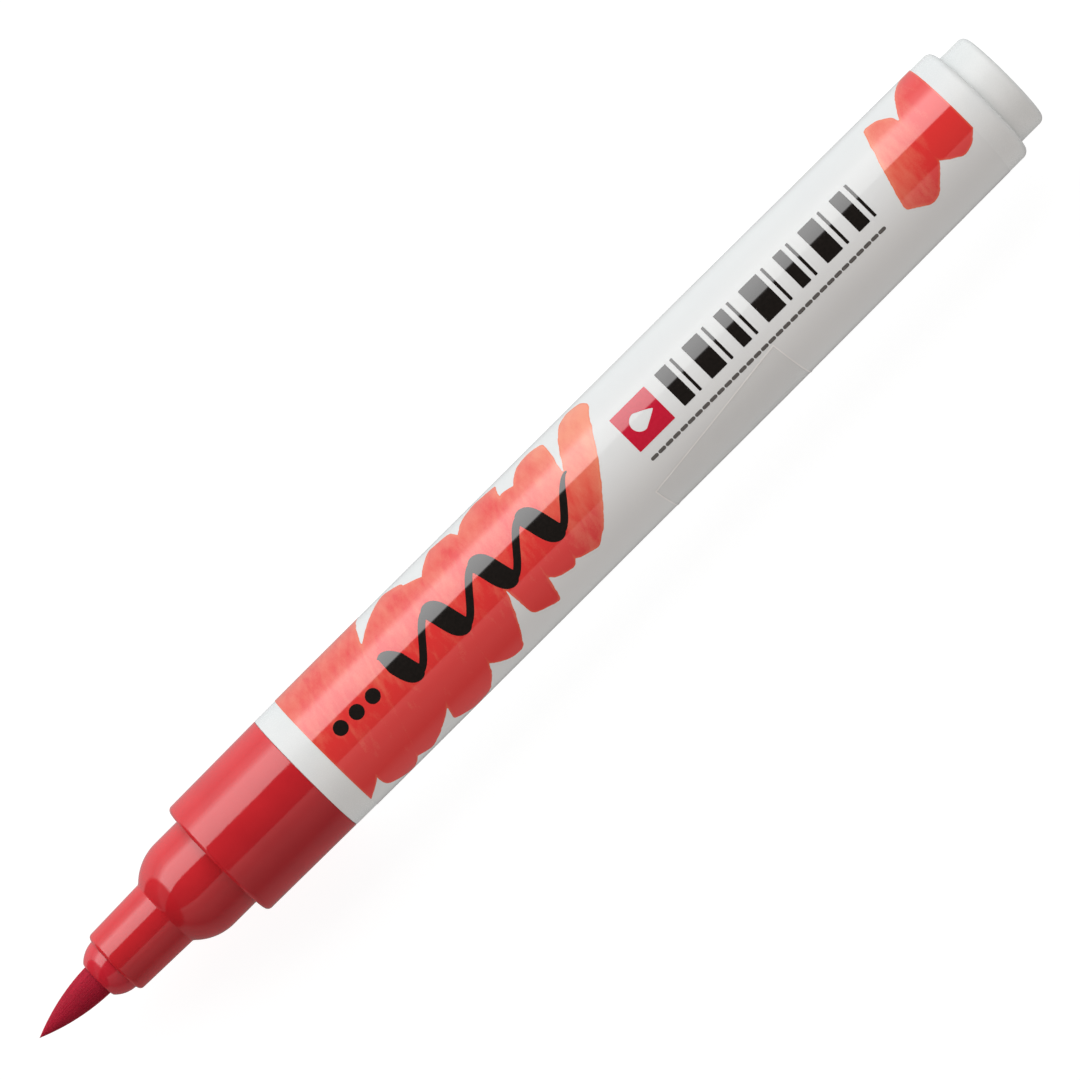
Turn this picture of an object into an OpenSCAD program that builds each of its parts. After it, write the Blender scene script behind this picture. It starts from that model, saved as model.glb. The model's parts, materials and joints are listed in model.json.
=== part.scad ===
// Brush pen: a round water-colour marker with a soft fibre brush, lying on its side.
// Millimetres. +X runs from the brush tip to the end plug, +Z is up, and the pen rests on z = 0.

/* [Brush] */
// Length of brush that shows in front of the collar
brush_out = 8.9; // [8.2:0.1:12]
// Diameter of the fibre bundle
brush_d = 3.9; // [3.4:0.02:4]
// How far inside the collar the point reaches its full diameter
brush_inset = 0.6; // [0.1:0.1:1.5]
// Diameter of the rounded end of the held part, on which the free part bends
brush_ball_d = 2.6; // [2:0.1:2.8]
// Largest bend of the free part, each way, in degrees
brush_bend = 30; // [10:1:34]

/* [Collar] */
// Length of the collar in front of the nose
collar_len = 2.2; // [1.4:0.1:2.3]
// Diameter of the sphere that the collar is rounded to
collar_d = 6.8; // [6.6:0.02:7.2]
// Diameter of the shank that is pressed into the nose
shank_d = 5.8; // [5.2:0.05:6]
// Length of the shank
shank_len = 12.7; // [10:0.1:14]
// Number of air channels along the shank
vent_count = 4; // [0:1:6]

/* [Nose and grip] */
// Width of the fine line between the collar and the nose
nose_gap = 0.2; // [0.1:0.05:0.5]
// Length of the nose tube, up to the dome
nose_len = 7.8; // [5:0.1:12]
// Diameter of the nose tube at its front
nose_front_d = 8; // [7.4:0.05:8]
// Diameter of the nose tube at the dome
nose_rear_d = 8.4; // [8.1:0.05:9]
// Rounding of the nose's front edge
nose_round = 0.5; // [0.1:0.05:0.7]
// Diameter of the dome and of the seat the cap fits over
seat_d = 12.12; // [11.9:0.02:12.9]
// Length of the cap's seat
seat_len = 3.5; // [2:0.1:8]
// Length of the grip ring
grip_len = 13.3; // [8:0.1:20]
// Diameter of the grip ring at its front
grip_front_d = 15.3; // [14.4:0.05:15.5]
// Diameter of the grip ring at its rear
grip_rear_d = 15.56; // [15.5:0.02:15.6]
// Rounding of the grip ring's front edge
grip_round = 0.55; // [0.1:0.05:1]
// Length of the spigot inside the barrel
spigot_len = 11; // [8:0.5:16]

/* [Barrel] */
// Length of the barrel
barrel_len = 101.8; // [80:0.1:120]
// Diameter of the barrel at its front edge
barrel_front_d = 15.56; // [15.4:0.02:15.6]
// Largest diameter of the barrel
barrel_max_d = 15.6; // [15.5:0.02:16]
// Diameter of the barrel where its draft begins
barrel_mid_d = 15.56; // [15.4:0.02:15.6]
// Diameter of the barrel at its rear
barrel_rear_d = 15.22; // [14.8:0.02:15.4]
// Rounding of the barrel's rear edge
barrel_round = 0.85; // [0.2:0.05:1]
// Diameter of the bore
bore_d = 12.6; // [12.58:0.01:12.7]
// Number of ribs that hold the ink reservoir
rib_count = 6; // [3:1:8]

/* [End plug] */
// Length of the plug that shows behind the barrel
plug_out = 3.7; // [2.5:0.1:6]
// Diameter of the plug
plug_d = 12.5; // [12.2:0.01:12.52]
// Length of the plug inside the barrel
plug_in = 8.3; // [6:0.1:12]
// Rounding of the plug's end
plug_round = 0.75; // [0.1:0.05:1]

/* [Label] */
// Thickness of the printed film
film_t = 0.05; // [0.04:0.01:0.1]
// Bare barrel in front of the film
film_front = 2.9; // [1:0.1:6]
// Bare barrel behind the film
film_rear = 3; // [1.5:0.1:6]
// Length of the clear sticker
sticker_len = 20.1; // [10:0.1:30]
// Width of the clear sticker across its flat
sticker_w = 10.1; // [5:0.1:12]
// Distance of the sticker's middle from the barrel's front edge
sticker_at = 58.2; // [30:0.1:70]
// Angle of the sticker's middle round the barrel, from the top
sticker_turn = 70.5; // [0:0.5:90]
// Slant of the sticker
sticker_slant = 7.5; // [-10:0.5:10]

/* [Ink] */
// Diameter of the ink reservoir with its film
reservoir_d = 10; // [8:0.1:10.1]
// Diameter of the wick
wick_d = 2.1; // [1.6:0.05:2.3]

/* [Hidden] */
$fn = 96;
fine = 720; // facets of the brush's long, nearly flat arc
over = 1; // how far a cut runs past what it cuts
slip = 0.02; // clearance of a press fit
run = 0.1; // clearance round the bending brush
gap = 0.3; // clearance between parts end to end
wall = 1.2;

// Brush and collar: stations behind the brush tip, and radii.
collar_s = brush_out;
point_len = brush_out + brush_inset;
point_r = (pow(point_len, 2) + pow(brush_d / 2, 2)) / brush_d;
hinge_s = collar_s - 0.2;
ball_r = brush_ball_d / 2;
rim_spare = 3; // degrees left between the two parts of the brush at full bend
rim_angle = 90 - brush_bend - rim_spare;
shank_s = collar_s + collar_len;
shank_e = shank_s + shank_len;
collar_mid = shank_s + 0.3;
bundle_e = shank_e - 4;
vent_w = 0.6;
vent_depth = 0.3;

// Nose and grip.
line_w = 0.2; // the fine line between the grip and the barrel
line_depth = 0.16;
nose_s = shank_s + nose_gap;
nose_e = nose_s + nose_len;
seat_s = nose_e + sqrt(pow(seat_d / 2, 2) - pow(nose_rear_d / 2, 2));
grip_s = seat_s + seat_len;
line_s = grip_s + grip_len;
cavity_d = 8.4;
stop_s = grip_s + 1.8;

// Barrel, its snap groove and the plug.
barrel_s = line_s + line_w;
barrel_e = barrel_s + barrel_len;
spigot_e = barrel_s + spigot_len;
bulge_s = barrel_s + 7.5;
draft_s = barrel_s + barrel_len * 0.64;
snap_w = 1;
snap_h = 0.15;
snap_s = spigot_e - 3.5;
pen_len = barrel_e + plug_out;
plug_s = barrel_e - plug_in;
neck_in = 0.6;
neck_out = 0.15;
neck_depth = 0.25;
bead_w = 1;
bead_s = [plug_s + 1, barrel_e - 3.6];
rib_w = 0.8;
rib_turn = 30;
seam_w = 0.4;
seam_turn = 150;

// Ink parts.
wick_s = bundle_e - 6;
wick_e = shank_e + 26;
wick_point = 2;
wick_end_d = wick_d / 4;
reservoir_s = stop_s + 0.2;
reservoir_e = plug_s + 2;
reservoir_film = 0.1;
cup_d = reservoir_d + 0.2;

axis_z = barrel_max_d / 2 + film_t;

// Lays what stands on the brush tip down along the pen's axis.
module lay() {
    translate([-pen_len / 2, 0, axis_z]) rotate([0, 90, 0]) children();
}

// Half-section of a plain band: radius, first and last station.
module band(r, s0, s1) {
    translate([0, s0]) square([r, s1 - s0]);
}

// Half-section of a band whose first edge is rounded.
module band_round_front(r, s0, s1, c) {
    band(r - c, s0, s1);
    band(r, s0 + c, s1);
    translate([r - c, s0 + c]) intersection() {
        circle(c);
        translate([0, -c]) square(c);
    }
}

// Half-section of a band whose last edge is rounded.
module band_round_rear(r, s0, s1, c) {
    band(r - c, s0, s1);
    band(r, s0, s1 - c);
    translate([r - c, s1 - c]) intersection() {
        circle(c);
        square(c);
    }
}

// Half-section of a slice of a sphere.
module slice(r, middle, s0, s1) {
    intersection() {
        translate([0, middle]) circle(r);
        band(r, s0, s1);
    }
}

// Half-section of a tapered band.
module taper(r0, r1, s0, s1) {
    polygon([[0, s0], [r0, s0], [r1, s1], [0, s1]]);
}

// Radius at a station on the straight taper from one radius to another.
function between(s, s0, r0, s1, r1) = r0 + (r1 - r0) * (s - s0) / (s1 - s0);
function front_r(s) = between(s, barrel_s, barrel_front_d / 2, bulge_s, barrel_max_d / 2);
function rear_r(s) = between(s, draft_s, barrel_mid_d / 2, barrel_e, barrel_rear_d / 2);

// Half-section of the barrel's outside from before its bulge to behind its draft, thickened.
module barrel_skin(s0, s1, more) {
    polygon([[0, s0], [front_r(s0) + more, s0], [barrel_max_d / 2 + more, bulge_s],
        [barrel_mid_d / 2 + more, draft_s], [rear_r(s1) + more, s1], [0, s1]]);
}

// Half-section of a film on the barrel, between two heights above it.
module film(low, high) {
    difference() {
        barrel_skin(barrel_s + film_front, barrel_e - film_rear, high);
        barrel_skin(barrel_s + film_front - over, barrel_e - film_rear + over, low);
    }
}

module barrel() color("whitesmoke") lay() {
    rotate_extrude() difference() {
        union() {
            barrel_skin(barrel_s, barrel_e - barrel_round, 0);
            band_round_rear(
                rear_r(barrel_e - barrel_round), barrel_e - 2 * barrel_round, barrel_e, barrel_round);
        }
        band(bore_d / 2, barrel_s - over, barrel_e + over);
        band(bore_d / 2 + snap_h, snap_s - slip, snap_s + snap_w + slip);
    }
    for (i = [0:rib_count - 1]) rotate(i * 360 / rib_count + rib_turn)
        translate([reservoir_d / 2, -rib_w / 2, spigot_e + wall])
            cube([(bore_d - reservoir_d) / 2 + line_depth, rib_w, plug_s - spigot_e - wall - gap]);
}

module wrap_label() color("gainsboro") lay() {
    difference() {
        rotate_extrude() film(0, film_t);
        rotate(seam_turn) translate([-barrel_max_d, -seam_w / 2, barrel_s])
            cube([barrel_max_d, seam_w, barrel_len]);
    }
}

module clear_sticker() color("lightcyan") lay() {
    intersection() {
        rotate_extrude() film(film_t, 2 * film_t);
        rotate(180 - sticker_turn) translate([0, 0, barrel_s + sticker_at]) rotate([-sticker_slant, 0, 0])
            translate([0, -sticker_w / 2, -sticker_len / 2]) cube([barrel_max_d, sticker_w, sticker_len]);
    }
}

module end_plug() color("white") lay() {
    rotate_extrude() difference() {
        union() {
            band_round_rear(plug_d / 2, barrel_e + neck_out, pen_len, plug_round);
            band(plug_d / 2 - neck_depth, barrel_e - neck_in, barrel_e + 2 * neck_out);
            band(plug_d / 2, plug_s, barrel_e - neck_in);
            for (s = bead_s) band(bore_d / 2 - slip, s, s + bead_w);
        }
        band(cup_d / 2, plug_s - over, pen_len - wall);
    }
    for (turn = [0, 90]) rotate(turn)
        translate([-cup_d / 2 - wall / 2, -rib_w / 2, reservoir_e + gap])
            cube([cup_d + wall, rib_w, pen_len - wall / 2 - reservoir_e - gap]);
}

module front_section() color("crimson") lay() {
    rotate_extrude() difference() {
        union() {
            band_round_front(nose_front_d / 2, nose_s, nose_s + 2 * nose_round, nose_round);
            taper(nose_front_d / 2, nose_rear_d / 2, nose_s + nose_round, nose_e);
            slice(seat_d / 2, seat_s, nose_e - line_w, seat_s);
            band(seat_d / 2, seat_s - line_w, grip_s + line_w);
            band_round_front(grip_front_d / 2, grip_s, grip_s + 2 * grip_round, grip_round);
            taper(grip_front_d / 2, grip_rear_d / 2, grip_s + grip_round, line_s);
            band(grip_rear_d / 2 - line_depth, line_s - line_w, barrel_s);
            band(bore_d / 2 - slip, line_s, spigot_e);
            band(bore_d / 2 + snap_h - slip, snap_s, snap_s + snap_w);
        }
        band(shank_d / 2, nose_s - over, shank_e + gap);
        band(cavity_d / 2, shank_e + gap, stop_s + over);
        band(cup_d / 2, stop_s, spigot_e + over);
    }
}

module nib_ferrule() color("darkred") lay() {
    difference() {
        rotate_extrude() difference() {
            union() {
                slice(collar_d / 2, collar_mid, collar_s, shank_s);
                band(shank_d / 2, shank_s - line_w, shank_e);
            }
            band(brush_d / 2 + slip, collar_s - over, bundle_e);
            band(wick_d / 2 + slip, bundle_e - over, shank_e + over);
        }
        if (vent_count > 0) for (i = [0:vent_count - 1]) rotate(i * 360 / vent_count)
            translate([shank_d / 2 - vent_depth, -vent_w / 2, shank_s])
                cube([wall, vent_w, shank_len + over]);
    }
}

// The held part of the bundle, with the rounded end that the free part bends on.
module brush_root() color("maroon") lay() {
    rotate_extrude() difference() {
        union() {
            band(brush_d / 2, hinge_s, bundle_e);
            slice(ball_r, hinge_s, hinge_s - ball_r, hinge_s + ball_r);
        }
        band(wick_d / 2 + slip, wick_s, bundle_e + over);
    }
}

// The free part of the bundle: a slim point, hollowed behind so that it clears the held part.
module brush_tip() color("mediumvioletred") lay() {
    rotate_extrude() difference() {
        intersection() {
            translate([brush_d / 2 - point_r, point_len]) circle(point_r, $fn = fine);
            band(brush_d / 2, 0, collar_s);
        }
        translate([0, hinge_s]) circle(ball_r + run);
        polygon([[0, hinge_s], [brush_d * sin(rim_angle), hinge_s - brush_d * cos(rim_angle)],
            [brush_d, collar_s + over], [0, collar_s + over]]);
    }
}

module feed_wick() color("mistyrose") lay() {
    rotate_extrude() {
        band(wick_d / 2, wick_s + gap, wick_e - wick_point);
        taper(wick_d / 2, wick_end_d / 2, wick_e - wick_point, wick_e);
    }
}

module reservoir_fibre() color("lightpink") lay() {
    rotate_extrude() difference() {
        band(reservoir_d / 2 - reservoir_film, reservoir_s, reservoir_e);
        band(wick_d / 2 + slip, reservoir_s - over, wick_e - wick_point);
        taper(wick_d / 2 + slip, wick_end_d / 2 + slip, wick_e - wick_point - slip, wick_e + slip);
    }
}

module reservoir_film() color("ghostwhite") lay() {
    rotate_extrude() difference() {
        band(reservoir_d / 2, reservoir_s, reservoir_e);
        band(reservoir_d / 2 - reservoir_film, reservoir_s - over, reservoir_e + over);
    }
}

barrel();
wrap_label();
clear_sticker();
end_plug();
front_section();
nib_ferrule();
brush_root();
brush_tip();
feed_wick();
reservoir_fibre();
reservoir_film();
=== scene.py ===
import json
import math
import random

import bmesh
import bpy
import numpy as np
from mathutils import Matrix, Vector

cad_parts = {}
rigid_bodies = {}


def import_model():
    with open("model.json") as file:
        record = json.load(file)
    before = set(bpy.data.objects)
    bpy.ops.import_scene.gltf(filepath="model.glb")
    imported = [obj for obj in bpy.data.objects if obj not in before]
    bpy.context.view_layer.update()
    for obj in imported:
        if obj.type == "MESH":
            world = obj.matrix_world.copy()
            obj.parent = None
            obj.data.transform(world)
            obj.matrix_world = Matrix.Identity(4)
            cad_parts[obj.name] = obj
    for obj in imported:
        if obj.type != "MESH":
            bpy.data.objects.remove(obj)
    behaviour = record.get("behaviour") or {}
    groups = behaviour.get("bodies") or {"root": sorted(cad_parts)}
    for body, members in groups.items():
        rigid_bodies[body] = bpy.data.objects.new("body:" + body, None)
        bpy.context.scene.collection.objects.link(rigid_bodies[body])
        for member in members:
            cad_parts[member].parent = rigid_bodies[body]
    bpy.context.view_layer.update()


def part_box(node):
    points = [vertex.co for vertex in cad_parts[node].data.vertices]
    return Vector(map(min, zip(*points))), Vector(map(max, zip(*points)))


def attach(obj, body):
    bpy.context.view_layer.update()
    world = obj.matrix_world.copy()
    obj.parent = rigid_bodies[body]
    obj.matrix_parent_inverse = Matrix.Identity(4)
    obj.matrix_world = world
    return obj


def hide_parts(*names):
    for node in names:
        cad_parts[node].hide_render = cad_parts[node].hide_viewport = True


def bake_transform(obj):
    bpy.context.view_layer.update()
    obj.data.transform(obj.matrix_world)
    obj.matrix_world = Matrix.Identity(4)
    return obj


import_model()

rng = random.Random(7)

# ---------------------------------------------------------------- places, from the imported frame
TIP_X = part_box("brush_tip")[0].x
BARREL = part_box("barrel")
AXIS_Z = (BARREL[0].z + BARREL[1].z) / 2


def station(node, end):
    """A node's first or last station along the pen, in mm behind the brush's tip."""
    return (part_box(node)[end].x - TIP_X) * 1000


COLLAR_S = station("nib_ferrule", 0)
NOSE_S = station("front_section", 0)
BARREL_S, BARREL_E = station("barrel", 0), station("barrel", 1)
LABEL_S, LABEL_E = station("wrap_label", 0), station("wrap_label", 1)
PLUG_S, PEN_E = station("end_plug", 0), station("end_plug", 1)
SPIGOT_E = station("front_section", 1)
SHANK_E = station("nib_ferrule", 1)
STICKER_S, STICKER_E = station("clear_sticker", 0), station("clear_sticker", 1)

# radii and lengths that the boxes don't give, in mm
NOSE_R, SEAT_R, GRIP_R = 4.2, 6.06, 7.65
BARREL_FRONT_R, BARREL_MAX_R, BARREL_REAR_R, BORE_R = 7.78, 7.8, 7.61, 6.3
SPIGOT_R, SPIGOT_BORE_R, THROAT_R = 6.28, 5.1, 4.2
SHANK_R, SHANK_HOLE_R = 2.88, 2.92
SKIRT_R, BEAD_R, SKIRT_BORE_R = 6.25, 6.28, 5.1
RESERVOIR_R, RIB_HALF = 5.0, 0.4
FILM = 0.05

NOSE_E = NOSE_S + 7.8
SEAT_S = NOSE_E + math.sqrt(SEAT_R ** 2 - NOSE_R ** 2)
GRIP_S = SEAT_S + 3.5
LINE_S = BARREL_S - 0.2
BULGE_S = BARREL_S + 7.5
DRAFT_S = BARREL_S + (BARREL_E - BARREL_S) * 0.64


def barrel_r(s):
    """The barrel's radius, in mm: it swells a little behind the grip and narrows towards the rear."""
    radii = [BARREL_FRONT_R, BARREL_MAX_R, BARREL_FRONT_R, BARREL_REAR_R]
    return np.interp(s, [BARREL_S, BULGE_S, DRAFT_S, BARREL_E], radii)


def at(s, r, a):
    """The point at station s and radius r, turned a radians from the top towards -Y; s and r in mm."""
    return (TIP_X + s / 1000, -r * math.sin(a) / 1000, AXIS_Z + r * math.cos(a) / 1000)


# ---------------------------------------------------------------- materials
class Nodes:
    """A short way to write a material's nodes."""

    def __init__(self, name):
        self.mat = bpy.data.materials.new(name)
        self.mat.use_nodes = True
        self.tree = self.mat.node_tree
        self.tree.nodes.clear()
        self.shader = self.add("ShaderNodeBsdfPrincipled")
        out = self.add("ShaderNodeOutputMaterial")
        self.link(self.shader.outputs[0], out.inputs["Surface"])

    def add(self, kind, **sockets):
        node = self.tree.nodes.new(kind)
        for key, value in sockets.items():
            self.put(node, key, value)
        return node

    def put(self, node, key, value):
        socket = node.inputs[key] if key in node.inputs else node.inputs[key.replace("_", " ")]
        if isinstance(value, bpy.types.NodeSocket):
            self.link(value, socket)
        else:
            socket.default_value = value

    def link(self, a, b):
        self.tree.links.new(a, b)

    def where(self, scale=(1, 1, 1)):
        """Object coordinates in mm, stretched."""
        coords = self.add("ShaderNodeTexCoord")
        mapping = self.add("ShaderNodeMapping", Vector=coords.outputs["Object"])
        mapping.inputs["Scale"].default_value = [1000 * v for v in scale]
        return mapping.outputs[0]

    def noise(self, scale, detail=2.0, stretch=(1, 1, 1), rough=0.5):
        node = self.add("ShaderNodeTexNoise", Vector=self.where(stretch), Scale=scale, Detail=detail)
        node.inputs["Roughness"].default_value = rough
        return node.outputs["Fac"]

    def band(self, value, a, b, lo, hi):
        node = self.add("ShaderNodeMapRange")
        self.put(node, "Value", value)
        for key, v in (("From Min", a), ("From Max", b), ("To Min", lo), ("To Max", hi)):
            node.inputs[key].default_value = v
        return node.outputs["Result"]

    def mix(self, share, a, b):
        node = self.tree.nodes.new("ShaderNodeMix")
        node.data_type = "RGBA"
        for socket, value in ((node.inputs[0], share), (node.inputs[6], a), (node.inputs[7], b)):
            if isinstance(value, bpy.types.NodeSocket):
                self.link(value, socket)
            else:
                socket.default_value = value
        return node.outputs[2]

    def maths(self, operation, a, b=0.0):
        node = self.tree.nodes.new("ShaderNodeMath")
        node.operation = operation
        for socket, value in ((node.inputs[0], a), (node.inputs[1], b)):
            if isinstance(value, bpy.types.NodeSocket):
                self.link(value, socket)
            else:
                socket.default_value = value
        return node.outputs[0]

    def attribute(self, name):
        node = self.tree.nodes.new("ShaderNodeAttribute")
        node.attribute_name = name
        return node.outputs["Fac"]

    def bump(self, height, strength, distance):
        node = self.add("ShaderNodeBump", Height=height)
        node.inputs["Strength"].default_value = strength
        node.inputs["Distance"].default_value = distance
        self.link(node.outputs[0], self.shader.inputs["Normal"])


def rgb(code):
    """Linear colour of an sRGB hex code."""
    parts = [int(code[i : i + 2], 16) / 255 for i in (0, 2, 4)]
    return [p / 12.92 if p <= 0.04045 else ((p + 0.055) / 1.055) ** 2.4 for p in parts] + [1.0]


def moulded(name, light, dark, rough, shine):
    """Moulded plastic: faint clouding in the colour, uneven gloss and a very fine skin."""
    n = Nodes(name)
    clouds = n.noise(0.25, 3.0)
    fine = n.noise(9.0, 2.0)
    n.put(n.shader, "Base Color", n.mix(n.band(clouds, 0.3, 0.7, 0.0, 1.0), rgb(dark), rgb(light)))
    n.put(n.shader, "Roughness", n.band(fine, 0.3, 0.7, *rough))
    n.shader.inputs["Specular IOR Level"].default_value = shine
    n.bump(n.noise(2.2, 3.0), 0.02, 0.0002)
    return n.mat


def filmed(name, ior=1.9):
    """The gloss that every print on the label shares."""
    n = Nodes(name)
    n.put(n.shader, "Roughness", n.band(n.noise(5.0, 2.0), 0.3, 0.7, 0.05, 0.08))
    n.shader.inputs["IOR"].default_value = ior
    return n


RED = moulded("red_plastic", "C9262D", "C2222A", rough=(0.05, 0.09), shine=1.0)
COLLAR = moulded("collar_plastic", "C92533", "BF1F2E", rough=(0.1, 0.15), shine=1.0)
WHITE = moulded("barrel_plastic", "DADDDD", "D6DADB", rough=(0.22, 0.3), shine=0.25)
PLUG = moulded("plug_plastic", "DADDDD", "D6DADA", rough=(0.24, 0.32), shine=0.25)


def label_material():
    """Pale film, very slightly uneven in colour and surface."""
    n = filmed("label_film", 1.45)
    n.put(n.shader, "Base Color", n.mix(n.noise(0.12, 2.0), rgb("D6D9DA"), rgb("DADDDD")))
    n.bump(n.noise(0.35, 2.0, (0.25, 1, 1)), 0.03, 0.0004)
    return n.mat


def ink_material():
    """Water-colour print: orange where the stroke ran dry and along its rim, deep red where it pooled."""
    n = filmed("print_red", 2.0)
    depth, rim = n.attribute("depth"), n.attribute("rim")
    streak = n.band(n.noise(1.1, 4.0, (1.0, 0.35, 0.35)), 0.3, 0.7, -0.14, 0.14)
    grain = n.band(n.noise(6.0, 3.0), 0.3, 0.7, -0.05, 0.05)
    share = n.maths("ADD", n.maths("ADD", depth, streak), grain)
    body = n.mix(n.band(share, 0.0, 1.0, 0.0, 1.0), rgb("EA8F72"), rgb("DE3634"))
    edge = n.band(rim, -0.25, 0.0, 0.0, 0.5)
    n.put(n.shader, "Base Color", n.mix(edge, body, rgb("E27450")))
    return n.mat


def plain_print(name, code, other, ior=1.9):
    """An ink of one colour, a little uneven."""
    n = filmed(name, ior)
    share = n.band(n.noise(3.0, 3.0), 0.35, 0.65, 0.0, 1.0)
    n.put(n.shader, "Base Color", n.mix(share, rgb(code), rgb(other)))
    return n.mat


LABEL = label_material()
INK = ink_material()
BLACK = plain_print("print_black", "120E0B", "1A1512", 2.1)
GREY = plain_print("print_grey", "4A4745", "55524F", 2.1)
CRIMSON = plain_print("print_crimson", "C01834", "C61D38")


def brush_material():
    """Nylon fibres wet with ink: each a little lighter or darker than the next."""
    n = Nodes("brush_fibre")
    tone = n.attribute("tone")
    run = n.band(n.noise(1.2, 3.0, (0.25, 1, 1)), 0.3, 0.7, -0.15, 0.15)
    n.put(n.shader, "Base Color", n.mix(n.maths("ADD", tone, run), rgb("941229"), rgb("C41D39")))
    n.put(n.shader, "Roughness", n.band(n.noise(4.0, 2.0, (0.2, 1, 1)), 0.3, 0.7, 0.34, 0.5))
    n.shader.inputs["Specular IOR Level"].default_value = 0.16
    n.bump(n.noise(9.0, 2.0, (0.06, 1, 1)), 0.05, 0.0001)
    return n.mat


BRUSH = brush_material()


def sticker_material(name, alpha, code, other):
    """Clear film, mostly seen by its gloss; made near-opaque and white, it is a painted highlight along the
    film's edges.
    """
    n = filmed(name)
    n.put(n.shader, "Base Color", n.mix(n.noise(0.6, 2.0), rgb(code), rgb(other)))
    n.shader.inputs["Alpha"].default_value = alpha
    n.bump(n.noise(0.5, 3.0), 0.15, 0.0003)
    return n.mat


CLEAR = sticker_material("clear_film", 0.04, "D0D2D1", "C9CCCB")
# near-opaque white for the sticker's rim and walls: a painted highlight standing in for the glint along the
# clear film's edges
CLEAR_EDGE_HIGHLIGHT = sticker_material("clear_film_painted_edge_highlight", 0.9, "FFFFFF", "F2F2F0")


def fibre_material(name, light, dark):
    """Bonded fibre, wet with ink."""
    n = Nodes(name)
    n.put(n.shader, "Base Color", n.mix(n.noise(3.0, 5.0, (0.25, 1, 1), 0.7), rgb(dark), rgb(light)))
    n.put(n.shader, "Roughness", n.band(n.noise(8.0, 2.0), 0.3, 0.7, 0.55, 0.8))
    n.bump(n.noise(7.0, 4.0, (0.15, 1, 1), 0.7), 0.6, 0.0002)
    return n.mat


# ---------------------------------------------------------------- mesh building
def made(name, mesh, materials, body="pen", replaces=(), smooth=38):
    """Put a mesh into the scene as a piece, smooth but for its edges sharper than smooth degrees."""
    mesh.polygons.foreach_set("use_smooth", [True] * len(mesh.polygons))
    if smooth:
        mesh.set_sharp_from_angle(angle=math.radians(smooth))
    for material in materials:
        mesh.materials.append(material)
    mesh.update()
    obj = bpy.data.objects.new(name, mesh)
    bpy.context.scene.collection.objects.link(obj)
    if body:
        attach(obj, body)
    if replaces:
        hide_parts(*replaces)
    return obj


def rounded(points, steps=6):
    """A profile of (station, radius, fillet) with each corner turned into an arc."""
    out, n = [], len(points)
    for i, (s, r, f) in enumerate(points):
        here = Vector((s, r))
        if f <= 0:
            out.append((s, r))
            continue
        a, b = Vector(points[i - 1][:2]) - here, Vector(points[(i + 1) % n][:2]) - here
        a.normalize()
        b.normalize()
        half = a.angle(b) / 2
        reach = f / math.tan(half)
        centre = here + (a + b).normalized() * (f / math.sin(half))
        p, q = here + a * reach - centre, here + b * reach - centre
        for k in range(steps + 1):
            t = k / steps
            out.append(tuple(centre + (p * (1 - t) + q * t).normalized() * f))
    return out


def turned(points, seg=192, a0=0.0, a1=2 * math.pi, extra=None):
    """The closed solid swept by a closed profile round the pen's axis, or through part of a turn."""
    whole = abs(a1 - a0 - 2 * math.pi) < 1e-9
    count = seg if whole else seg + 1
    bm = bmesh.new()
    rings = []
    for k in range(count):
        a = a0 + (a1 - a0) * k / seg
        rings.append([bm.verts.new(at(s, r, a)) for s, r in points])
    n = len(points)
    for k in range(seg):
        here, there = rings[k], rings[(k + 1) % count]
        for i in range(n):
            j = (i + 1) % n
            bm.faces.new((here[i], here[j], there[j], there[i]))
    if not whole:
        bm.faces.new(rings[0])
        bm.faces.new(rings[-1])
    if extra:
        extra(bm)
    bmesh.ops.remove_doubles(bm, verts=bm.verts, dist=1e-8)
    bmesh.ops.recalc_face_normals(bm, faces=bm.faces)
    mesh = bpy.data.meshes.new("turned")
    bm.to_mesh(mesh)
    bm.free()
    return mesh


def bar(bm, s0, s1, r0, r1, half, a):
    """A straight bar along the pen between two radii, at angle a."""
    across = Vector(at(0, half, a + math.pi / 2)) - Vector(at(0, 0, 0))
    corners = []
    for s in (s0, s1):
        for r, side in ((r0, -1), (r1, -1), (r1, 1), (r0, 1)):
            corners.append(bm.verts.new(Vector(at(s, r, a)) + across * side))
    for f in ((0, 1, 2, 3), (4, 7, 6, 5), (0, 4, 5, 1), (1, 5, 6, 2), (2, 6, 7, 3), (3, 7, 4, 0)):
        bm.faces.new([corners[i] for i in f])


# ---------------------------------------------------------------- front section, collar, barrel and plug
STOP_S = GRIP_S + 1.8
POCKET_E = SHANK_E + 0.3
dome = [
    (SEAT_S - SEAT_R * math.sin(a), SEAT_R * math.cos(a), 0)
    for a in np.linspace(math.asin((SEAT_S - NOSE_E) / SEAT_R), 0.03, 26)[1:]
]
front = (
    [(NOSE_S, SHANK_HOLE_R, 0.08), (NOSE_S, NOSE_R - 0.2, 0.5), (NOSE_E - 0.06, NOSE_R, 0.12)]
    + dome
    + [
        (GRIP_S, SEAT_R, 0.12),
        (GRIP_S, GRIP_R, 0.55),
        (LINE_S, BARREL_FRONT_R - 0.01, 0.06),
        (LINE_S, SPIGOT_R, 0),
        (SPIGOT_E, SPIGOT_R, 0.3),
        (SPIGOT_E, SPIGOT_BORE_R, 0.1),
        (STOP_S, SPIGOT_BORE_R, 0),
        (STOP_S, THROAT_R, 0),
        (POCKET_E, THROAT_R, 0),
        (POCKET_E, SHANK_HOLE_R, 0),
    ]
)
made("grip_section", turned(rounded(front)), [RED], replaces=["front_section"])

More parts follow.
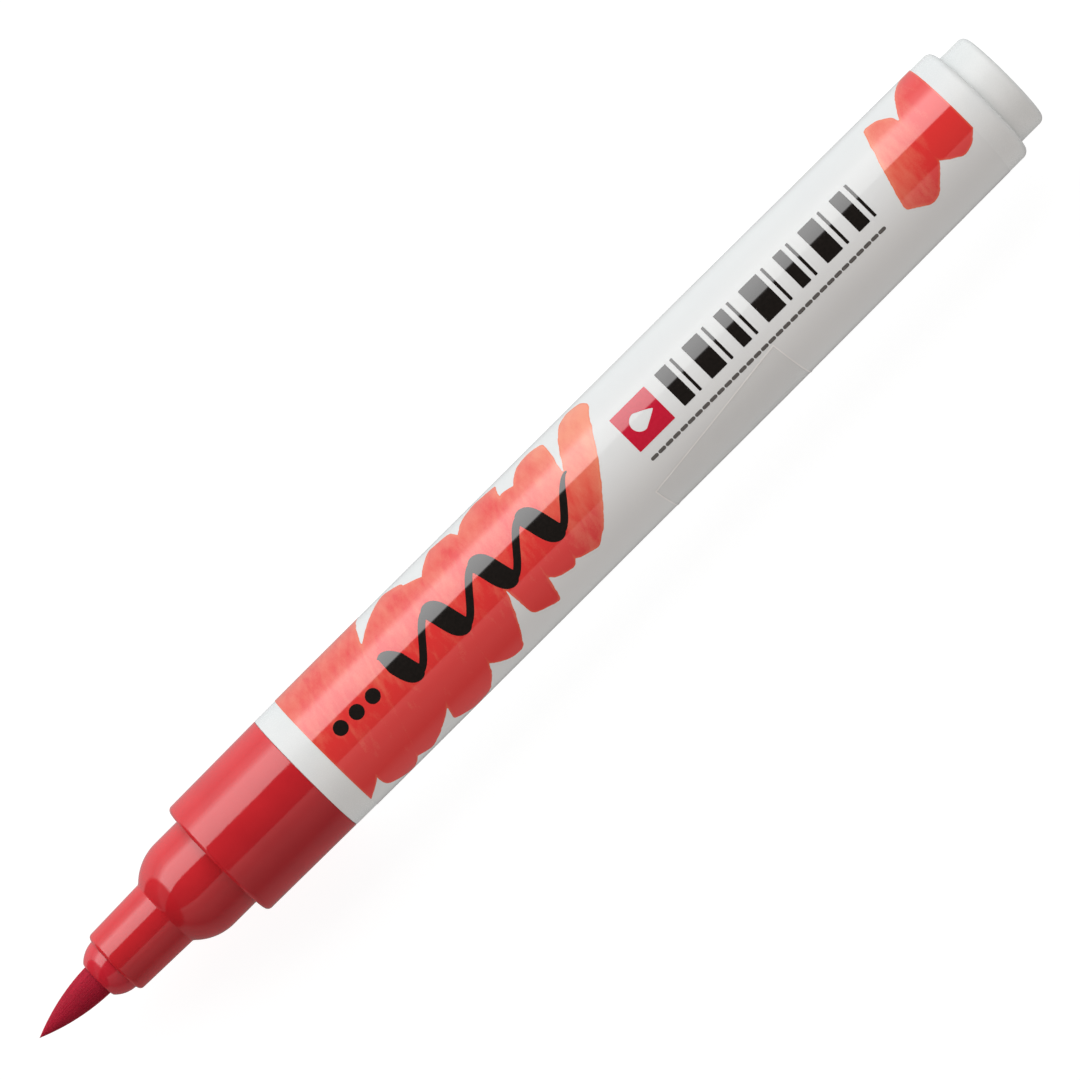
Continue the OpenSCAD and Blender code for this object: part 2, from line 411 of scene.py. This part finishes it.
COLLAR_R, COLLAR_MID, COLLAR_E = 3.4, NOSE_S + 0.1, NOSE_S - 0.02
BUNDLE_HOLE_R, WICK_HOLE_R, WICK_HOLE_S = 1.99, 1.07, SHANK_E - 4
collar_arc = [
    (s, math.sqrt(COLLAR_R ** 2 - (COLLAR_MID - s) ** 2), 0)
    for s in np.linspace(COLLAR_S + 0.08, COLLAR_E, 24)
]
ferrule = [(COLLAR_S, BUNDLE_HOLE_R, 0.1), (COLLAR_S, 2.26, 0.1)] + collar_arc + [
    (COLLAR_E, SHANK_R, 0),
    (SHANK_E, SHANK_R, 0.2),
    (SHANK_E, WICK_HOLE_R, 0),
    (WICK_HOLE_S, WICK_HOLE_R, 0),
    (WICK_HOLE_S, BUNDLE_HOLE_R - 0.01, 0),
]
made("collar", turned(rounded(ferrule)), [COLLAR], replaces=["nib_ferrule"])

TUBE_S = LINE_S + 0.01
tube = [
    (TUBE_S, BORE_R, 0),
    (TUBE_S, BARREL_FRONT_R, 0.14),
    (BULGE_S, BARREL_MAX_R, 0),
    (DRAFT_S, BARREL_FRONT_R, 0),
    (BARREL_E, BARREL_REAR_R, 0.85),
    (BARREL_E, BORE_R, 0.06),
]


def reservoir_ribs(bm):
    """Six ribs along the bore, from the reservoir into the wall."""
    for k in range(6):
        turn = (2 * k + 1) * math.pi / 6
        bar(bm, SPIGOT_E + 1.2, PLUG_S - 0.3, RESERVOIR_R, BORE_R + 0.1, RIB_HALF, turn)


barrel = turned(rounded(tube, 10), extra=reservoir_ribs)
made("barrel_tube", barrel, [WHITE], replaces=["barrel"])


def cross_ribs(bm):
    """Two ribs that cross inside the plug's skirt."""
    reach = SKIRT_BORE_R + 0.3
    for k in range(2):
        bar(bm, PLUG_S + 2.3, PEN_E - 0.6, -reach, reach, RIB_HALF, k * math.pi / 2)


def snap_bead(start):
    """A shallow ring round the plug's skirt."""
    return [
        (start, SKIRT_R, 0),
        (start + 0.2, BEAD_R, 0.1),
        (start + 0.8, BEAD_R, 0.1),
        (start + 1, SKIRT_R, 0),
    ]


END_WALL, DIMPLE_R, DIMPLE_DEPTH = 1.2, 2.2, 0.06
plug = (
    [(PLUG_S, SKIRT_BORE_R, 0.1), (PLUG_S, SKIRT_R, 0.15)]
    + snap_bead(PLUG_S + 1)
    + snap_bead(BARREL_E - 3.6)
    + [
        (BARREL_E - 0.6, SKIRT_R + 0.02, 0),
        (PEN_E, SKIRT_R, 0.75),
        (PEN_E, DIMPLE_R, 0),
        (PEN_E - DIMPLE_DEPTH, DIMPLE_R - 0.15, 0),
        (PEN_E - DIMPLE_DEPTH, 0, 0),
        (PEN_E - END_WALL, 0, 0),
        (PEN_E - END_WALL, SKIRT_BORE_R, 0.2),
    ]
)
end_plug = turned(rounded(plug, 8), extra=cross_ribs)
made("plug_body", end_plug, [PLUG], body="plug", replaces=["end_plug"])

# ---------------------------------------------------------------- label, with its seam on the hidden side
PRINT_DEPTH = 0.02
SEAM_TURN = math.radians(150)
SEAM_HALF = 0.2 / BARREL_MAX_R
label_stations = np.linspace(LABEL_S, LABEL_E, 60)
label_outside = [(s, barrel_r(s) + FILM - PRINT_DEPTH) for s in label_stations]
label_inside = [(s, barrel_r(s) - 0.002) for s in label_stations[::-1]]
sleeve = turned(label_outside + label_inside, 240, SEAM_TURN + SEAM_HALF, SEAM_TURN + 2 * math.pi - SEAM_HALF)
made("label_sleeve", sleeve, [LABEL], replaces=["wrap_label"])


# ---------------------------------------------------------------- printed shapes, as thin layers on the label
def waves(u, v, scale, seed):
    """Smooth seeded unevenness between about -1 and 1: five waves at each of three finenesses."""
    draw = np.random.RandomState(seed)
    total = np.zeros_like(u)
    for k in range(3):
        for _ in range(5):
            heading, phase = draw.uniform(0, math.pi), draw.uniform(0, 2 * math.pi)
            pace = (1.9 ** k) * draw.uniform(0.7, 1.3) / scale
            along = u * math.cos(heading) + v * math.sin(heading)
            total += np.sin(along * pace * 2 * math.pi + phase) / (1.7 ** k)
    return total / 5


def to_segment(u, v, p, q):
    """Distance to the line from p to q, and how far along it the nearest point is."""
    d = np.subtract(q, p)
    t = np.clip(((u - p[0]) * d[0] + (v - p[1]) * d[1]) / max(d @ d, 1e-12), 0, 1)
    return np.hypot(u - p[0] - t * d[0], v - p[1] - t * d[1]), t


def strokes(lines):
    """Signed distance to a set of round-ended strokes (first point, last point, half width at each)."""

    def inside(u, v):
        best = np.full_like(u, 99.0)
        for p, q, w0, w1 in lines:
            d, t = to_segment(u, v, p, q)
            best = np.minimum(best, d - (w0 + (w1 - w0) * t))
        return best

    return inside


def blot(u, v, outline, soft=0.18):
    """Signed distance to a convex outline with softened corners. Its points turn from +u towards +v."""
    sides = []
    for (u0, v0), (u1, v1) in zip(outline, outline[1:] + outline[:1]):
        length = math.hypot(u1 - u0, v1 - v0)
        sides.append(((u - u0) * (v1 - v0) - (v - v0) * (u1 - u0)) / length / soft)
    sides = np.stack(sides)
    top = sides.max(axis=0)
    return soft * (top + np.log(np.exp(sides - top).sum(axis=0)))


def path(points, widths):
    """Strokes that follow a curve."""
    return [(points[i], points[i + 1], widths[i], widths[i + 1]) for i in range(len(points) - 1)]


def cut_out(inside, span, step):
    """The points and faces of the area where inside(u, v) is below zero, cut from an even grid."""
    us = np.arange(span[0], span[1] + step, step)
    vs = np.arange(span[2], span[3] + step, step)
    field = inside(*np.meshgrid(us, vs, indexing="ij"))
    points, faces, index = [], [], {}

    def corner(cell):
        if cell not in index:
            index[cell] = len(points)
            points.append((us[cell[0]], vs[cell[1]]))
        return index[cell]

    def crossing(a, b):
        key = (a, b) if a < b else (b, a)
        if key not in index:
            t = min(max(field[a] / (field[a] - field[b]), 0.02), 0.98)
            index[key] = len(points)
            points.append((us[a[0]] + t * (us[b[0]] - us[a[0]]), vs[a[1]] + t * (vs[b[1]] - vs[a[1]])))
        return index[key]

    hit = field < 0
    touched = hit[:-1, :-1] | hit[1:, :-1] | hit[1:, 1:] | hit[:-1, 1:]
    for i, j in zip(*np.nonzero(touched)):
        ring = [(i, j), (i + 1, j), (i + 1, j + 1), (i, j + 1)]
        face = []
        for a, b in zip(ring, ring[1:] + ring[:1]):
            if hit[a]:
                face.append(corner(a))
            if hit[a] != hit[b]:
                face.append(crossing(a, b))
        if len(face) > 2:
            faces.append(face)
    return np.array(points), faces


def printed(name, inside, span, step, material, depth=None, lift=0.0):
    """A thin layer of print on the label where inside(u, v) is below zero. In mm, u is the station along the
    pen and v the arc from the top line; span is the first and last u, then the first and last v."""
    flat, faces = cut_out(inside, span, step)
    count = len(flat)
    rims = inside(flat[:, 0], flat[:, 1])
    depths = depth(flat[:, 0], flat[:, 1]) if depth else np.zeros(count)
    points = []
    for height in (FILM + lift, FILM - PRINT_DEPTH):
        for u, v in flat:
            here = barrel_r(u)
            points.append(at(u, here + height, v / (here + FILM)))
    edges = [pair for face in faces for pair in zip(face, face[1:] + face[:1])]
    paired = set(edges)
    walls = [[b, a, a + count, b + count] for a, b in edges if (b, a) not in paired]
    backs = [[i + count for i in reversed(face)] for face in faces]
    mesh = bpy.data.meshes.new(name)
    mesh.from_pydata(points, [], faces + backs + walls)
    for key, values in (("rim", rims), ("depth", depths)):
        layer = mesh.attributes.new(key, "FLOAT", "POINT")
        layer.data.foreach_set("value", np.concatenate([values, values]).astype(np.float32))
    made(name, mesh, [material], smooth=60)


# one outline for each stroke, of the broad mark at the front and of the short mark at the rear
ZIGZAG = [
    [(40.0, -14.5), (51.0, -14.5), (46.0, 6.0), (40.0, 11.9)],
    [(47.5, -14.5), (56.6, -14.5), (50.2, 9.3), (48.9, 11.6), (45.7, 8.7), (45.4, 5.5)],
    [
        (53.8, -5.4), (57.4, -9.1), (59.5, -10.7), (62.0, -8.8),
        (61.0, -2.0), (56.3, 6.3), (52.0, 10.5), (49.9, 8.8),
    ],
    [
        (60.3, -9.3), (64.3, -6.8), (64.3, -1.0), (62.7, 6.3),
        (60.4, 10.9), (58.4, 11.4), (55.7, 8.8), (56.2, 5.5),
    ],
    [
        (63.8, -6.8), (66.5, -10.2), (69.2, -9.5), (69.9, -7.9),
        (69.5, 1.2), (66.3, 8.6), (64.9, 8.5), (62.5, 6.2),
    ],
    [(69.0, -6.4), (71.1, -9.5), (73.3, -10.7), (76.4, -9.8), (72.8, 7.2), (69.6, 5.5)],
    [
        (75.0, -6.6), (76.3, -7.5), (78.4, -6.7), (78.4, 0.0),
        (77.0, 4.5), (76.5, 5.1), (74.1, 4.4), (73.3, 3.4),
    ],
    [
        (77.6, -6.8), (79.3, -9.2), (81.3, -9.8), (83.1, -8.8),
        (83.2, -7.2), (81.0, 4.4), (79.7, 5.5), (76.9, 4.4),
    ],
    [
        (85.8, -9.3), (87.2, -10.2), (89.0, -9.5), (89.7, -8.0),
        (86.5, -1.9), (81.2, 4.4), (79.0, 4.9), (82.1, -2.6),
    ],
]
SHORT = [
    [
        (131.0, -7.9), (132.4, -7.6), (133.8, -6.4), (134.4, -4.9),
        (134.4, 1.3), (131.7, 4.4), (130.5, 4.5), (127.9, 2.6),
    ],
    [
        (133.9, -4.1), (136.7, -9.8), (138.2, -11.7), (142.0, -12.0),
        (142.0, -1.3), (138.0, 2.8), (136.4, 3.1), (133.9, 1.2),
    ],
]


def wobbly(shapes, low, high, seed):
    """The strokes with uneven edges, cut square between two stations."""

    def inside(u, v):
        d = np.minimum.reduce([blot(u, v, shape) for shape in shapes])
        d = d + 0.06 * waves(u, v, 2.4, seed) + 0.025 * waves(u, v, 0.6, seed + 1)
        return np.maximum(np.maximum(d, low - u), u - high)

    return inside


def pooled(shapes, base, start, along, across, seams, seed):
    """How deep the colour is. It changes along the pen after start, and from the top of the mark down. It is
    deeper where strokes overlap, and thinner at the rim, between strokes and where the brush ran dry."""

    def near_edge(d):
        return np.exp(-(((d + 0.12) / 0.16) ** 2))

    def depth(u, v):
        each = [blot(u, v, shape) for shape in shapes]
        cover = sum(1 / (1 + np.exp(np.clip(d / 0.2, -30, 30))) for d in each)
        outer = near_edge(np.minimum.reduce(each))
        pale = outer + seams * (np.maximum.reduce([near_edge(d) for d in each]) - outer)
        fine = waves(0.87 * u + 0.5 * v, 0.08 * v, 1.8, seed + 2)
        broad = waves(u, v * 0.5, 4.5, seed)
        trend = base + along * np.maximum(u - start, 0) + across * v
        return trend + 0.10 * (cover - 1) - 0.16 * pale + 0.09 * fine + 0.12 * broad

    return depth


printed(
    "print_zigzag", wobbly(ZIGZAG, LABEL_S + 0.02, LABEL_E, 3), (43.0, 90.5, -15.6, 11.6), 0.14, INK,
    depth=pooled(ZIGZAG, 0.97, start=76, along=-0.06, across=0.035, seams=0.7, seed=11),
)
printed(
    "print_short", wobbly(SHORT, 0, LABEL_E - 0.02, 5), (127.5, 139.6, -11.5, 5.5), 0.14, INK,
    depth=pooled(SHORT, 0.5, start=129, along=0.1, across=0.055, seams=0.0, seed=13),
)

# over the broad mark, black ink lies a little proud of the red
OVER = 0.012


def flourish():
    """A plain wave, brushed thick on the way down and thin on the way up."""
    start, length, middle, height, slant = 53.6, 28.2, -1.15, 2.1, 0.3
    periods, steps, taper = 4, 240, 14
    points, widths = [], []
    for k in range(steps + 1):
        t = k / steps
        v = middle - height * math.cos(2 * math.pi * periods * t)
        points.append((start + length * t - slant * v, v))
    for k in range(steps + 1):
        a, b = points[max(k - 1, 0)], points[min(k + 1, steps)]
        down = max(0.0, (b[1] - a[1]) / math.hypot(b[0] - a[0], b[1] - a[1]))
        end = min(1.0, k / taper, (steps - k) / taper)
        widths.append((0.42 + 0.85 * down ** 1.5) * (0.3 + 0.7 * end))
    return path(points, widths)


def dots():
    """Three round dots in a row."""
    v, radius = -0.75, 0.85
    return [((u, v), (u + 0.02, v), radius, radius) for u in (46.6, 49.0, 51.4)]


printed("print_flourish", strokes(flourish()), (51.5, 84.5, -5.6, 3.4), 0.09, BLACK, lift=OVER)
printed("print_dots", strokes(dots()), (45.5, 52.6, -1.9, 0.4), 0.07, BLACK, lift=OVER)


def box_of(u0, u1, v0, v1):
    """Signed distance to a square-cut box."""

    def inside(u, v):
        return np.maximum(np.maximum(u0 - u, u - u1), np.maximum(v0 - v, v - v1))

    return inside


def bars():
    """A plain row of upright bars, each with a fine line behind it."""
    top, foot, gap, fine, space = -4.0, 0.85, 0.6, 0.36, 2.44
    shapes, start = [], 96.65
    for wide in (1.65, 2.3, 1.3, 2.7, 1.3, 2.3, 1.65):
        shapes.append(box_of(start, start + wide, top, foot))
        shapes.append(box_of(start + wide + gap, start + wide + gap + fine, top, foot))
        start += wide + space

    def inside(u, v):
        return np.minimum.reduce([shape(u, v) for shape in shapes])

    return inside


def dashes():
    """A dashed rule below the bars."""
    start, pitch, length, v, half = 90.3, 1.1, 0.6, 2.45, 0.21
    starts = [start + pitch * k for k in range(32)]
    return [((u, v), (u + length, v), half, half) for u in starts]


def badge(u, v):
    """A plain square with an ink drop left open in it."""
    mid_u, mid_v, half_u, half_v = 92.45, -1.45, 2.6, 2.45
    square = np.maximum(abs(u - mid_u) - half_u, abs(v - mid_v) - half_v)
    d, t = to_segment(u, v, (mid_u + 1.55, mid_v), (mid_u - 0.35, mid_v))
    drop = d - (0.08 + 1.05 * t ** 0.9)
    return np.maximum(square, -drop)


printed("print_bars", bars(), (96.4, 126.0, -4.3, 1.1), 0.1, BLACK)
printed("print_rule", strokes(dashes()), (89.8, 126.0, 2.1, 2.8), 0.06, GREY)
printed("print_badge", badge, (89.7, 95.2, -4.0, 1.2), 0.08, CRIMSON)


# ---------------------------------------------------------------- clear sticker, put on a little crooked
def rimmed(half, count):
    """Even steps from -half to half, with a narrow rim at either end."""
    rim = 0.13
    inner = half - rim
    return [-half] + [inner * (2 * k / (count - 2) - 1) for k in range(count - 1)] + [half]


def sticker():
    """A clear rectangle laid round the barrel, its edges and one corner lifted a little. Its rim and side
    walls get near-opaque white: a painted highlight along the film's edges.
    """
    half_l, half_w, thick, clear = 10.05, 5.5, 0.02, 0.008
    mid_u, mid_v, slant = (STICKER_S + STICKER_E) / 2, 9.65, math.radians(-7.5)
    bm = bmesh.new()
    nu, nv = 60, 36
    top, low = [], []
    for a in rimmed(half_l, nu):
        for b in rimmed(half_w, nv):
            u = mid_u + a * math.cos(slant) - b * math.sin(slant)
            v = mid_v + a * math.sin(slant) + b * math.cos(slant)
            here = float(barrel_r(u)) + FILM
            edge = min(half_l - abs(a), half_w - abs(b))
            corner = math.hypot(half_l + a, half_w + b)
            curl = 0.005 * max(0, 1 - edge / 0.5) ** 2 + 0.01 * max(0, 1 - corner / 2.4) ** 2
            top.append(bm.verts.new(at(u, here + clear + curl + thick, v / here)))
            low.append(bm.verts.new(at(u, here + clear + curl, v / here)))
    for i in range(nu):
        for j in range(nv):
            k = i * (nv + 1) + j
            ring = (k, k + nv + 1, k + nv + 2, k + 1)
            # the rim rows take the painted edge highlight
            rim = i in (0, nu - 1) or j in (0, nv - 1)
            for layer in (top, low):
                bm.faces.new([layer[m] for m in ring]).material_index = int(rim)
    around = (
        [i * (nv + 1) for i in range(nu)]
        + [nu * (nv + 1) + j for j in range(nv)]
        + [i * (nv + 1) + nv for i in range(nu, 0, -1)]
        + list(range(nv, 0, -1))
    )
    for k, a in enumerate(around):
        b = around[(k + 1) % len(around)]
        # the side walls take the painted edge highlight too
        bm.faces.new((top[a], top[b], low[b], low[a])).material_index = 1
    bmesh.ops.recalc_face_normals(bm, faces=bm.faces)
    mesh = bpy.data.meshes.new("sticker")
    bm.to_mesh(mesh)
    bm.free()
    return mesh


made("sticker_film", sticker(), [CLEAR, CLEAR_EDGE_HIGHLIGHT], replaces=["clear_sticker"])

# ---------------------------------------------------------------- brush: a core and the fibres that lie on it
SHOULDER_S, BUNDLE_R = COLLAR_S + 0.6, 1.95
ARC_R = (SHOULDER_S ** 2 + BUNDLE_R ** 2) / (2 * BUNDLE_R)
CORE_LEN, FIBRE_LEN = 11.5, 11.0


def bundle_r(s):
    """Radius of the bundle: a slender arch that meets the tip in a point."""
    if s >= SHOULDER_S:
        return BUNDLE_R
    return math.sqrt(max(ARC_R ** 2 - (SHOULDER_S - s) ** 2, 0)) - ARC_R + BUNDLE_R


def brush():
    """The wet bundle: a solid core under two layers of fibres, which start a little behind the tip."""
    bm = bmesh.new()
    tone = bm.verts.layers.float.new("tone")

    def tube(line, sides, shade):
        """A closed tube along points (centre, radius)."""
        rings = []
        for i, (p, r) in enumerate(line):
            a = Vector(line[min(i + 1, len(line) - 1)][0]) - Vector(line[max(i - 1, 0)][0])
            a.normalize()
            out = a.cross(Vector((0.13, 0.61, 0.78))).normalized()
            up = a.cross(out)
            ring = []
            for k in range(sides):
                t = 2 * math.pi * k / sides
                v = bm.verts.new(Vector(p) + (out * math.cos(t) + up * math.sin(t)) * r)
                v[tone] = shade
                ring.append(v)
            rings.append(ring)
        for a, b in zip(rings, rings[1:]):
            for k in range(sides):
                bm.faces.new((a[k], a[(k + 1) % sides], b[(k + 1) % sides], b[k]))
        bm.faces.new(rings[0][::-1])
        bm.faces.new(rings[-1])

    marks = [CORE_LEN * (k / 46) ** 1.25 for k in range(47)]
    core = [(at(s, 0, 0), max(bundle_r(s) - 0.04, 0.012) / 1000) for s in marks]
    tube(core, 96, 0.4)
    for layer, many, sink in ((0, 132, 0.0), (1, 66, 0.02)):
        for k in range(many):
            a = 2 * math.pi * (k + 0.5 * layer + rng.uniform(-0.3, 0.3)) / many
            start = rng.uniform(0, 1) ** 2.2 * (1.6 if layer == 0 else 0.8)
            twist, wave, phase = rng.uniform(-0.012, 0.012), rng.uniform(0.002, 0.007), rng.uniform(0, 6.28)
            thick = rng.uniform(0.05, 0.064)
            rise = rng.uniform(-0.012, 0.004)
            line = []
            for s in [start + (FIBRE_LEN - start) * (m / 22) ** 1.3 for m in range(23)]:
                body = bundle_r(s)
                lean = a + twist * (1 - s / FIBRE_LEN) * 3 + wave * math.sin(s * 1.1 + phase)
                fade = min(1.0, 0.22 + 0.78 * (s - start) / 3.2)
                r = max(body - thick * fade - sink + rise * min(1, body), 0.006)
                line.append((at(s, r, lean), thick * fade / 1000))
            tube(line, 6, min(1, max(0, rng.gauss(0.5, 0.09))))
    bmesh.ops.recalc_face_normals(bm, faces=bm.faces)
    mesh = bpy.data.meshes.new("brush")
    bm.to_mesh(mesh)
    bm.free()
    return mesh


tuft = made("brush_tuft", brush(), [BRUSH], body=None, smooth=0)
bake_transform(tuft)
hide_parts("brush_root", "brush_tip")

# ---------------------------------------------------------------- inner pieces, which keep their CAD shape
inside_looks = {
    "feed_wick": fibre_material("wick_fibre", "C24A5C", "A02B40"),
    "reservoir_fibre": fibre_material("reservoir_fibre", "B03048", "8C1C34"),
    "reservoir_film": moulded("reservoir_film", "D8D9DC", "CFD1D6", rough=(0.12, 0.2), shine=0.6),
}
for node, material in inside_looks.items():
    obj = bpy.data.objects[node]
    for slot in obj.material_slots:
        slot.material = material

# ---------------------------------------------------------------- floor, light and camera
def floor():
    """A plain pale floor, bright by itself."""
    n = Nodes("floor")
    n.put(n.shader, "Base Color", n.mix(n.noise(0.01, 2.0), rgb("888888"), rgb("8C8C8C")))
    n.shader.inputs["Roughness"].default_value = 0.9
    n.shader.inputs["Specular IOR Level"].default_value = 0.0
    n.shader.inputs["Emission Color"].default_value = (1, 1, 1, 1)
    n.shader.inputs["Emission Strength"].default_value = 0.93
    mesh = bpy.data.meshes.new("floor")
    half = 6
    corners = [(-half, -half, 0), (half, -half, 0), (half, half, 0), (-half, half, 0)]
    mesh.from_pydata(corners, [], [(0, 1, 2, 3)])
    mesh.materials.append(n.mat)
    obj = bpy.data.objects.new("floor", mesh)
    obj.visible_glossy = False
    bpy.context.scene.collection.objects.link(obj)


floor()


def soft_lamp(name, tilt, spread, radiance, colour, pieces):
    """A long soft lamp along the pen that lights only these pieces, unseen. It stands tilt degrees from
    overhead towards +Y, and spread is half its width in degrees."""
    distance, length = 0.55, 1.5
    width = 2 * distance * math.tan(math.radians(spread))
    data = bpy.data.lights.new(name, "AREA")
    data.shape = "RECTANGLE"
    data.size, data.size_y = length, width
    data.energy = radiance * math.pi * length * width
    data.color = colour
    obj = bpy.data.objects.new(name, data)
    a = math.radians(tilt)
    obj.location = (0, distance * math.sin(a), AXIS_Z + distance * math.cos(a))
    obj.rotation_euler = (-a, 0, 0)
    obj.visible_camera = obj.visible_glossy = False
    bpy.context.scene.collection.objects.link(obj)
    lit = bpy.data.collections.new(name + "_lights")
    for piece in pieces:
        lit.objects.link(bpy.data.objects[piece])
    obj.light_linking.receiver_collection = lit


PALE = ["barrel_tube", "label_sleeve", "plug_body", "sticker_film"]
PALE += [o.name for o in bpy.data.objects if o.name.startswith("print_")]
soft_lamp("red_key", 50, 21, 1.24, (1.0, 0.98, 0.96), ["grip_section", "collar"])
soft_lamp("red_fill", -35, 21, 0.35, (1.0, 0.97, 0.95), ["grip_section"])
soft_lamp("collar_fill", -35, 21, 0.62, (1.0, 0.93, 0.93), ["collar"])
soft_lamp("tuft_key", 8, 21, 0.80, (1.0, 0.98, 0.98), ["brush_tuft"])
soft_lamp("pale_key", 50, 21, 0.44, (1.0, 1.0, 1.0), PALE)
soft_lamp("pale_fill", -22, 24, 1.10, (1.0, 0.90, 0.85), PALE)

# how bright the studio is in each direction, in degrees from overhead towards +Y
STUDIO = [
    (-180, 0.20), (-132, 0.22), (-107, 0.22), (-88, 0.12), (-71, 0.18), (-56, 0.24), (-42, 0.24),
    (-29, 0.34), (-25, 0.34), (-24, 0.04), (28, 0.04), (29, 1.90), (49, 2.25), (66, 2.40),
    (79, 1.05), (97, 0.63), (118, 0.67), (151, 0.48), (180, 0.40),
]
BRIGHTEST = max(level for _, level in STUDIO)
WARM_SIDE, PLAIN_SIDE = (1.0, 0.94, 0.90), (1.0, 1.0, 1.0)


def studio():
    """Long soft lights beside the pen, as a world that fades out beyond the pen's two ends."""
    world = bpy.data.worlds.new("studio")
    world.use_nodes = True
    tree = world.node_tree
    tree.nodes.clear()

    def add(kind, *inputs, operation=None):
        node = tree.nodes.new(kind)
        if operation:
            node.operation = operation
        for socket, value in zip(node.inputs, inputs):
            if isinstance(value, bpy.types.NodeSocket):
                tree.links.new(value, socket)
            else:
                socket.default_value = value
        return node

    coords = add("ShaderNodeTexCoord")
    split = add("ShaderNodeSeparateXYZ", coords.outputs["Generated"])
    turn = add("ShaderNodeMath", split.outputs["Y"], split.outputs["Z"], operation="ARCTAN2")
    share = add("ShaderNodeMapRange", turn.outputs[0], -math.pi, math.pi, 0.0, 1.0)
    ramp = add("ShaderNodeValToRGB", share.outputs[0])
    stops = ramp.color_ramp.elements
    for angle, _ in STUDIO[1:-1]:
        stops.new((angle + 180) / 360)
    for stop, (angle, level) in zip(stops, STUDIO):
        tint = PLAIN_SIDE if angle > 0 else WARM_SIDE
        stop.color = [t * level / BRIGHTEST for t in tint] + [1.0]
    sideways = add("ShaderNodeMath", split.outputs["X"], operation="ABSOLUTE")
    slanted = add("ShaderNodeMath", split.outputs["Y"], 0.2, sideways.outputs[0], operation="MULTIPLY_ADD")
    ends = add("ShaderNodeMapRange", slanted.outputs[0], 0.74, 0.80, BRIGHTEST, 0.1 * BRIGHTEST)
    back = add("ShaderNodeBackground", ramp.outputs["Color"], ends.outputs[0])
    add("ShaderNodeOutputWorld", back.outputs[0])
    bpy.context.scene.world = world


def place_camera():
    """Straight above the pen, rolled so that the pen runs up to the right. The view is across wide."""
    distance, across, roll = 0.86, 0.1158, math.radians(44.9)
    middle_x, middle_y = TIP_X + 0.0757, -0.00005
    data = bpy.data.cameras.new("camera")
    data.sensor_width = 36
    data.lens = data.sensor_width * distance / across
    data.clip_start, data.clip_end = 0.01, 50
    camera = bpy.data.objects.new("camera", data)
    camera.location = (middle_x, middle_y, AXIS_Z + distance)
    camera.rotation_euler = (0, 0, -roll)
    bpy.context.scene.collection.objects.link(camera)
    bpy.context.scene.camera = camera


studio()
place_camera()
bpy.context.scene.view_settings.view_transform = "Standard"
